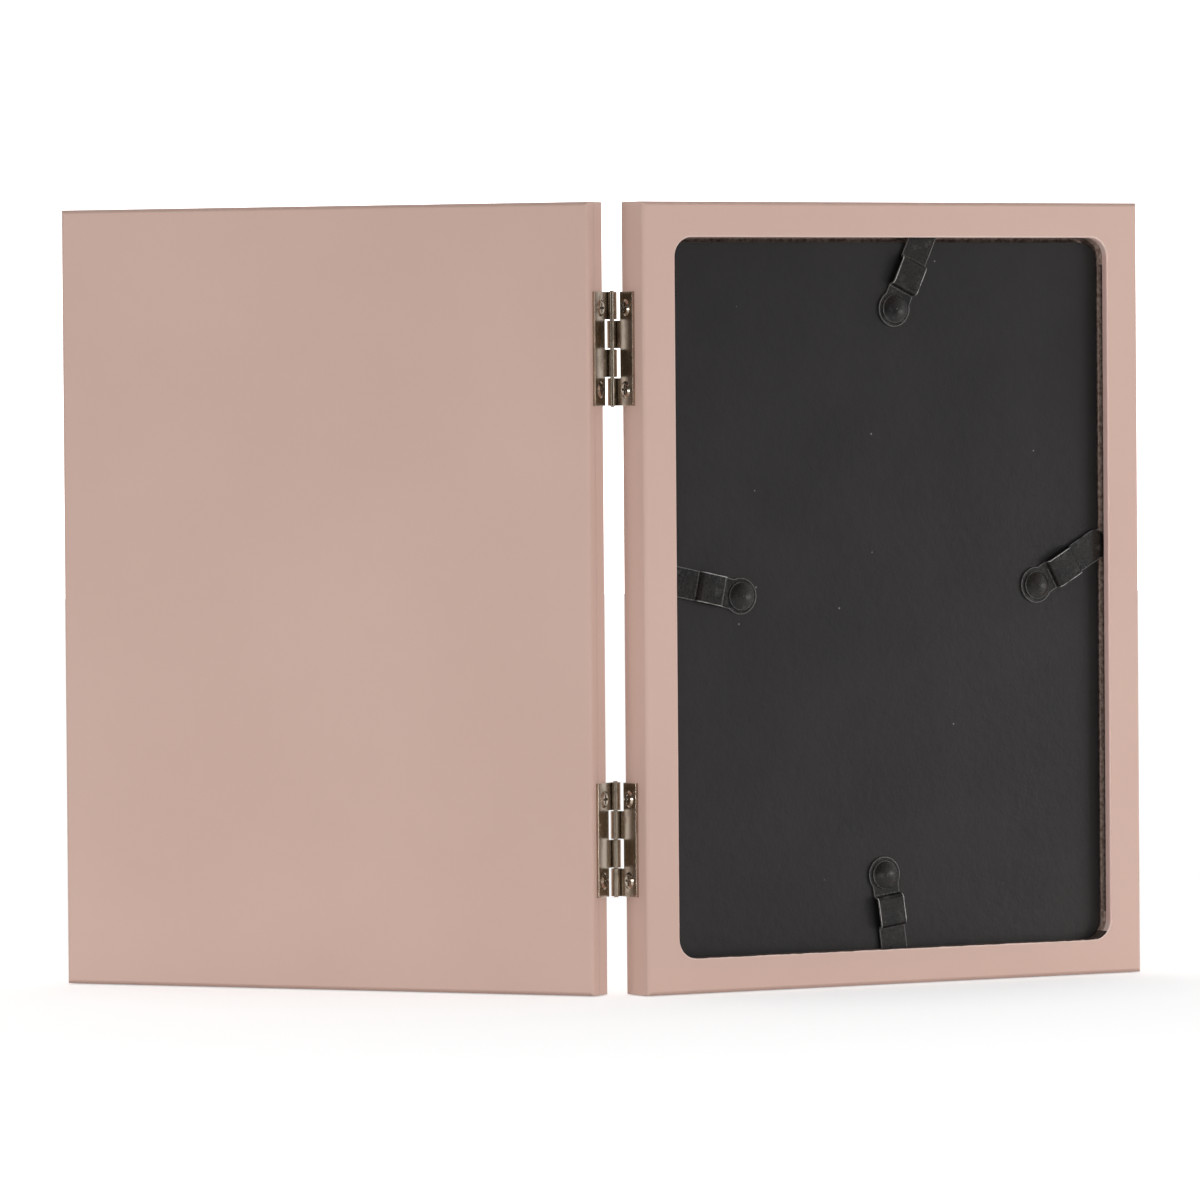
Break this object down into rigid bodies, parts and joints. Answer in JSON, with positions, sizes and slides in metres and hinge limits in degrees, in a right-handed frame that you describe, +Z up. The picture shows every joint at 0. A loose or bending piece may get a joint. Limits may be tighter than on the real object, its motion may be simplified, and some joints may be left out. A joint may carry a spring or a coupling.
{
  "type": "hinged double photo frame",
  "caption": "Two painted board leaves hinged like a book, each with a picture window; one back is closed, the other holds a backing board under turn clips.",
  "frame": {"origin": "middle of the right leaf's foot (right as seen from behind), on the table", "axes": "+Z up, +X across the right leaf away from the hinges, +Y towards the right leaf's picture side"},
  "size_m": [0.246, 0.1361, 0.2],
  "materials": {
    "painted_board": "satin pink paint",
    "black_board": "matt black",
    "clear_pane": "polished",
    "print_paper": "plain paper",
    "grey_card": "raw greyboard",
    "black_clip": "satin black lacquer",
    "nickel": "nickel plate"
  },
  "bodies": {
    "right_leaf": {"right_frame": "painted_board", "right_pane": "clear_pane", "right_print": "print_paper", "backing_board": "black_board", "clip_rivet_top": "black_clip", "clip_rivet_right": "black_clip", "clip_rivet_bottom": "black_clip", "clip_rivet_left": "black_clip", "upper_hinge_right_plate": "nickel", "upper_hinge_right_screws": "nickel", "lower_hinge_right_plate": "nickel", "lower_hinge_right_screws": "nickel"},
    "left_leaf": {"left_front_frame": "painted_board", "left_back_panel": "painted_board", "left_pane": "clear_pane", "left_print": "print_paper", "left_filler_card": "grey_card", "upper_hinge_left_plate": "nickel", "upper_hinge_left_screws": "nickel", "upper_hinge_pin": "nickel", "lower_hinge_left_plate": "nickel", "lower_hinge_left_screws": "nickel", "lower_hinge_pin": "nickel"},
    "clip_top": {"turn_clip_top": "black_clip"},
    "clip_right": {"turn_clip_right": "black_clip"},
    "clip_bottom": {"turn_clip_bottom": "black_clip"},
    "clip_left": {"turn_clip_left": "black_clip"}
  },
  "joints": [
    {"name": "leaf_fold", "type": "hinge", "parent": "right_leaf", "child": "left_leaf", "pos_m": [-0.0763, 0.0077, 0], "axis": [0, 0, -1], "range_deg": [-58, 125.5]},
    {"name": "clip_top_turn", "type": "hinge", "parent": "right_leaf", "child": "clip_top", "pos_m": [0.00235, -0.0011, 0.17285], "axis": [0, -1, 0], "continuous": true},
    {"name": "clip_right_turn", "type": "hinge", "parent": "right_leaf", "child": "clip_right", "pos_m": [0.0455, -0.0011, 0.1013], "axis": [0, -1, 0], "continuous": true},
    {"name": "clip_bottom_turn", "type": "hinge", "parent": "right_leaf", "child": "clip_bottom", "pos_m": [-0.00175, -0.0011, 0.02785], "axis": [0, -1, 0], "continuous": true},
    {"name": "clip_left_turn", "type": "hinge", "parent": "right_leaf", "child": "clip_left", "pos_m": [-0.04445, -0.0011, 0.1001], "axis": [0, -1, 0], "continuous": true}
  ]
}
